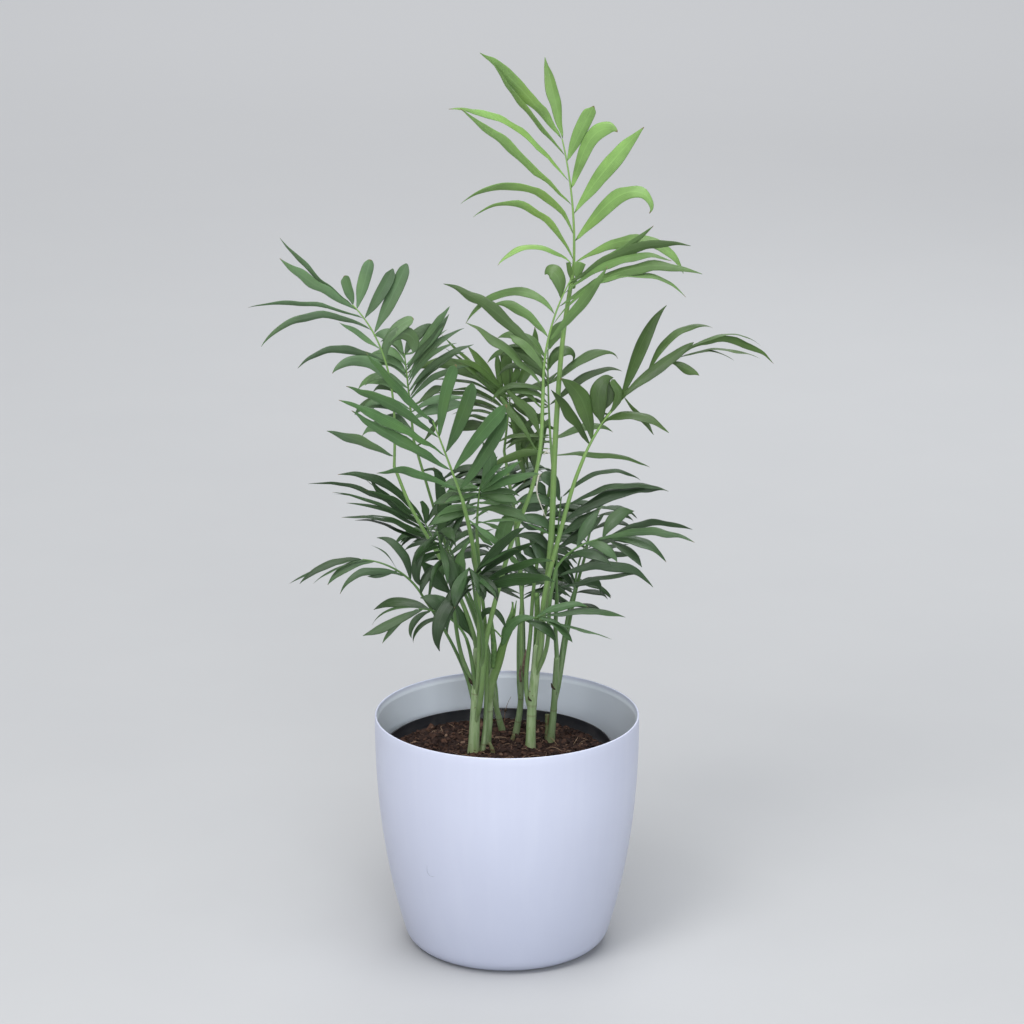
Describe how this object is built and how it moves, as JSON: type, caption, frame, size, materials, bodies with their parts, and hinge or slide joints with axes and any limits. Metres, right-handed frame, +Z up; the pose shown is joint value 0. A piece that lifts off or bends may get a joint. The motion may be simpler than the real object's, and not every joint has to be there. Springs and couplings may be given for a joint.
{
  "type": "parlour palm",
  "caption": "Young clump-forming parlour palm with slender canes and feathered fronds, in a black nursery pot inside a round satin cover pot.",
  "frame": {"origin": "centre of the cover pot's flat underside, on the floor", "axes": "+Z up along the pot's axis and the plant's height, -Y towards the viewer's side of the plant, +X to the right of it"},
  "size_m": [0.3499, 0.2636, 0.6175],
  "materials": {
    "cover_plastic": "satin moulded plastic, near white with a cool cast",
    "nursery_plastic": "black moulded plastic",
    "soil": "loose brown coco chips and peat",
    "cane": "smooth green cane with pale bloom and brown rings",
    "petiole": "smooth fresh green stalk",
    "leaf_pale": "young soft leaf, satin",
    "leaf_mid": "mature leaf, satin",
    "leaf_dark": "old dark leaf, satin"
  },
  "bodies": {
    "root": {"cover_pot": "cover_plastic", "nursery_pot": "nursery_plastic", "soil": "soil", "cane_left": "cane", "cane_centre": "cane", "cane_thin": "cane", "cane_back_left": "cane", "cane_back": "cane", "cane_right": "cane", "cane_far_right": "cane", "petiole_crown": "petiole", "petiole_second": "petiole", "petiole_right": "petiole", "petiole_inner": "petiole", "petiole_left": "petiole", "petiole_front": "petiole", "petiole_mid_left": "petiole", "petiole_low_left": "petiole", "petiole_foot_left": "petiole", "petiole_mid_right": "petiole", "petiole_low_right": "petiole", "petiole_back_centre": "petiole", "petiole_back_left": "petiole", "petiole_drop_left": "petiole", "petiole_drop_front": "petiole", "petiole_mid_front": "petiole", "petiole_young": "petiole", "petiole_foot_right": "petiole", "petiole_back_right": "petiole", "petiole_back_high": "petiole", "petiole_back_low": "petiole", "petiole_back_low_left": "petiole", "petiole_back_low_right": "petiole", "frond_crown": "leaf_pale", "frond_second": "leaf_pale", "frond_right": "leaf_dark", "frond_inner": "leaf_mid", "frond_left": "leaf_mid", "frond_front": "leaf_mid", "frond_mid_left": "leaf_dark", "frond_low_left": "leaf_dark", "frond_foot_left": "leaf_dark", "frond_mid_right": "leaf_dark", "frond_low_right": "leaf_dark", "frond_back_centre": "leaf_dark", "frond_back_left": "leaf_mid", "frond_drop_left": "leaf_dark", "frond_drop_front": "leaf_dark", "frond_mid_front": "leaf_mid", "frond_young": "leaf_mid", "frond_foot_right": "leaf_dark", "frond_back_right": "leaf_dark", "frond_back_high": "leaf_dark", "frond_back_low": "leaf_dark", "frond_back_low_left": "leaf_dark", "frond_back_low_right": "leaf_dark"}
  },
  "joints": []
}
